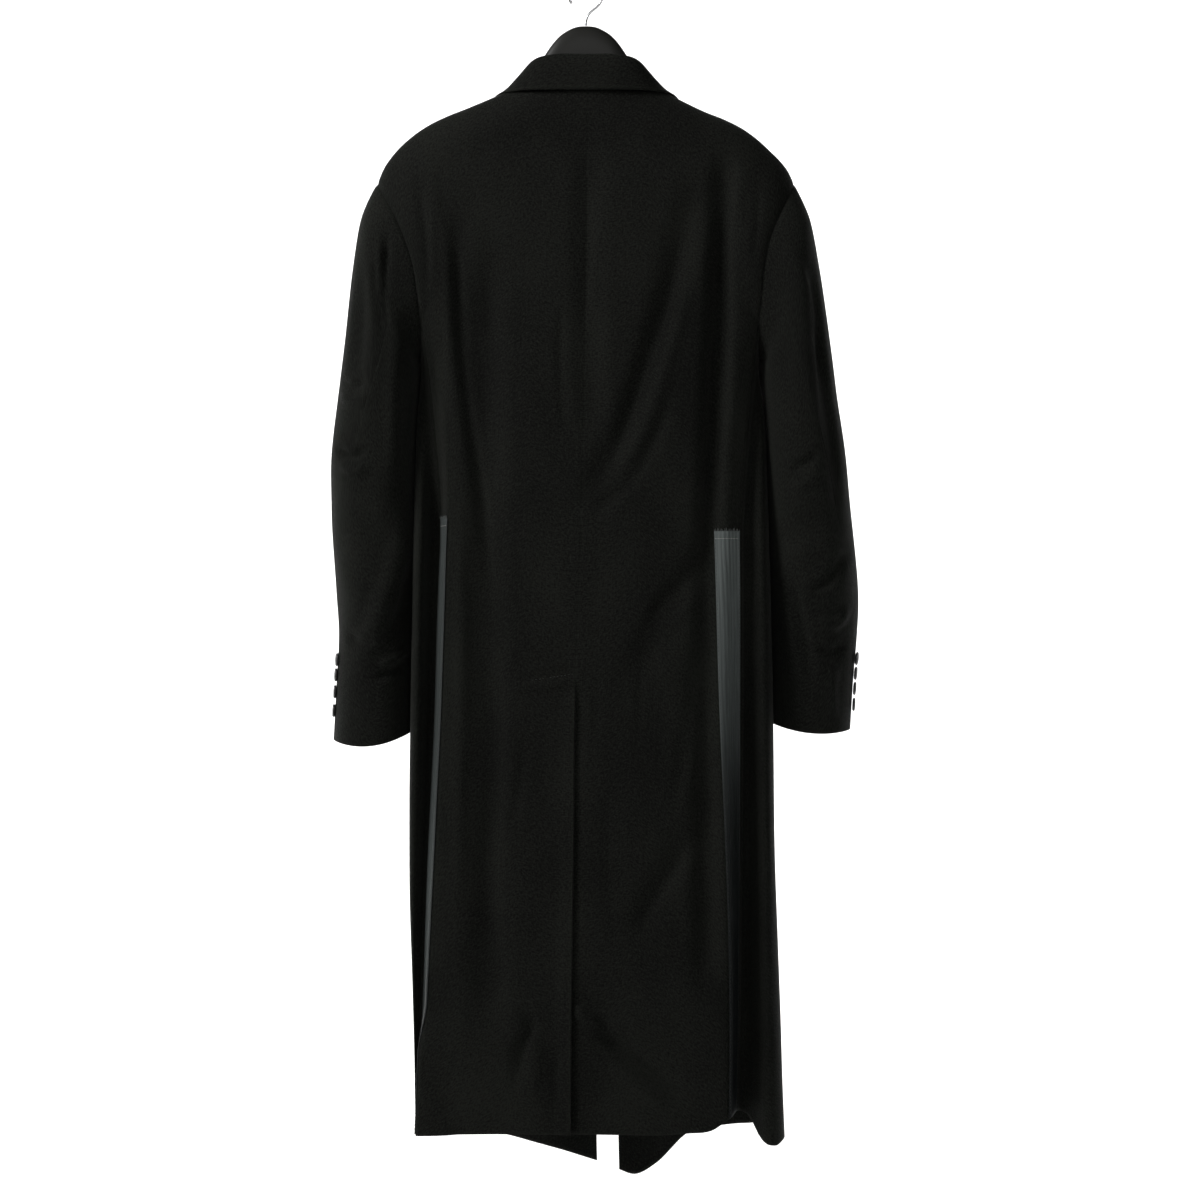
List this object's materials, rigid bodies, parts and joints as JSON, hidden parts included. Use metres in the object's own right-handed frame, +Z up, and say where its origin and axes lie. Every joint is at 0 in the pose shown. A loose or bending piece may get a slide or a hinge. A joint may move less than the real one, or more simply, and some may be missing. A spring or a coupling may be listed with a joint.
{
  "type": "long coat on a hanger",
  "caption": "Long tailored black coat with a centre vent and ribbed tapes down its side-back seams, hanging open and flat on a moulded hanger with a wire hook.",
  "frame": {"origin": "inside top of the hanger's hook, where a rail carries the coat", "axes": "+Z up, +Y towards the front of the coat, +X to the wearer's right"},
  "size_m": [0.591, 0.1508, 1.3495],
  "materials": {
    "wool": "black plain-weave wool suiting with a soft dry sheen",
    "tape": "charcoal ribbed grosgrain tape, half shiny",
    "button": "black polyester button, satin",
    "hanger": "black moulded plastic, satin",
    "hook": "bright plated wire"
  },
  "bodies": {
    "root": {"back_left": "wool", "back_right": "wool", "vent_underlap": "wool", "side_left": "wool", "side_right": "wool", "front_left": "wool", "front_right": "wool", "lapel_left": "wool", "lapel_right": "wool", "collar": "wool", "sleeve_left_top": "wool", "sleeve_left_under": "wool", "sleeve_right_top": "wool", "sleeve_right_top_lower": "wool", "sleeve_right_under": "wool", "tape_left": "tape", "tape_right": "tape", "cuff_button_left_1": "button", "cuff_button_left_2": "button", "cuff_button_left_3": "button", "cuff_button_left_4": "button", "cuff_button_right_1": "button", "cuff_button_right_2": "button", "cuff_button_right_3": "button", "cuff_button_right_4": "button", "front_button_1": "button", "front_button_2": "button", "front_button_3": "button", "hanger": "hanger", "hanger_hook": "hook"}
  },
  "joints": []
}
